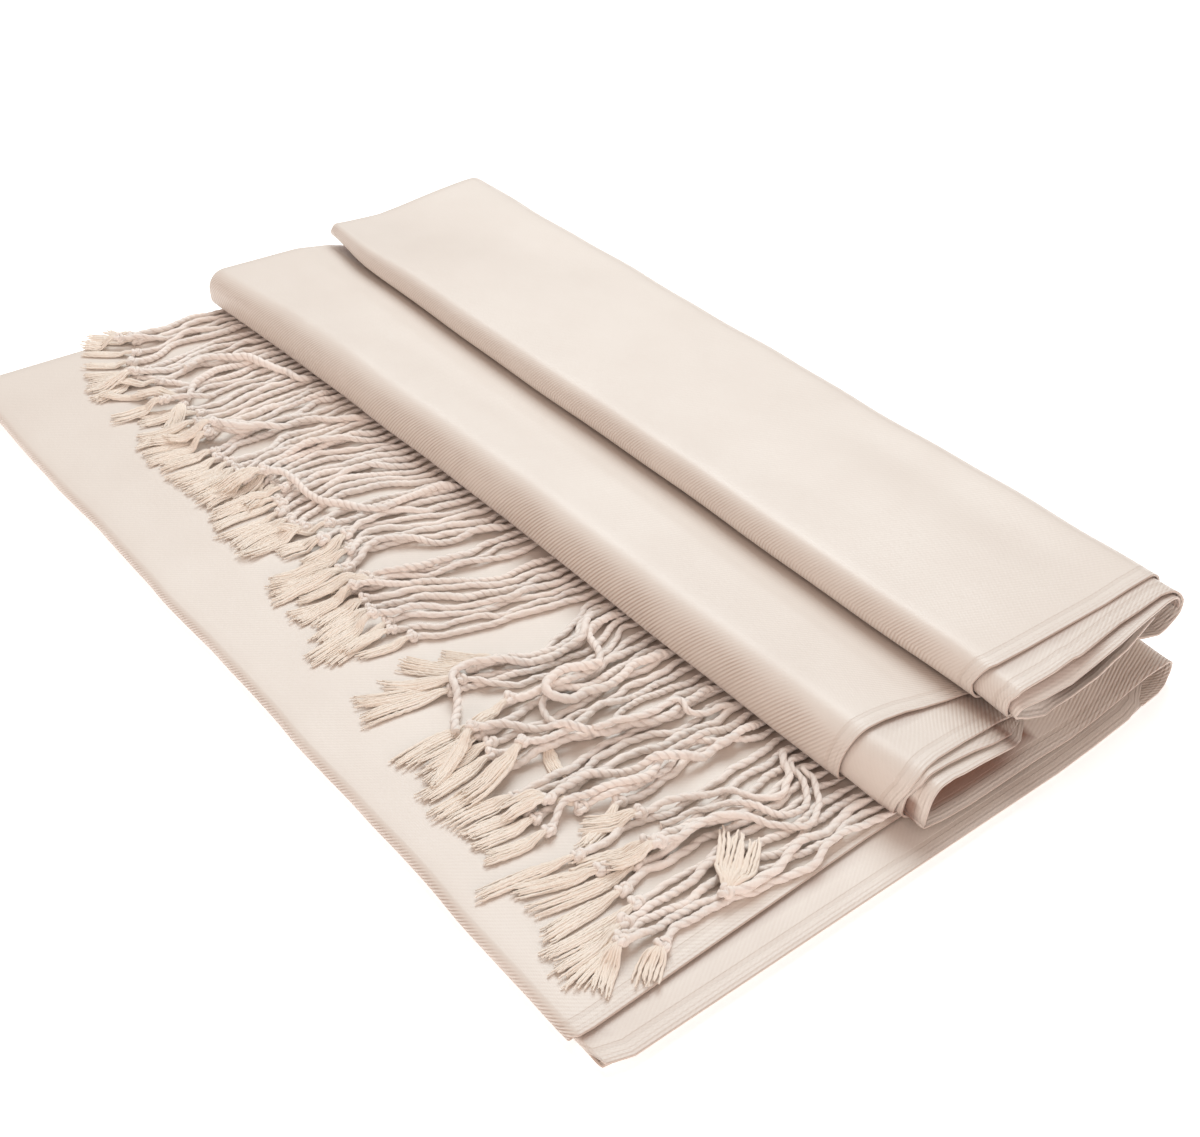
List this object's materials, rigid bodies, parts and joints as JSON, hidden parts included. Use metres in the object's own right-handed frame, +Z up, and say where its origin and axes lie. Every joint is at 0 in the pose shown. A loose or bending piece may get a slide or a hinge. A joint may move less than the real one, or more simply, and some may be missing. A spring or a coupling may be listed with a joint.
{
  "type": "folded fringed shawl for wearing as a head wrap",
  "caption": "Long satin-twill head wrap or shawl folded into a flat bundle, its knotted fringe spread out over the lowest layer.",
  "frame": {"origin": "centre of the bundle's outline, on the surface it rests on", "axes": "+X along the folds towards the near end with the stepped edges, +Y across from the left folds and the fringe to the right folds, +Z up"},
  "size_m": [0.357, 0.224, 0.0305],
  "materials": {
    "twill": "cream satin twill with a soft sheen",
    "hidden_twill": "the same cream satin twill, in the shade of the folds",
    "twisted_yarn": "matt cream twisted yarn"
  },
  "bodies": {
    "root": {"base_leaf": "twill", "fringed_end": "twill", "fringe": "twisted_yarn", "middle_leaf": "twill", "wrap_ply": "twill", "middle_hidden_layers": "hidden_twill", "top_leaf": "twill", "top_inner_ply": "twill", "top_hidden_layers": "hidden_twill"}
  },
  "joints": []
}
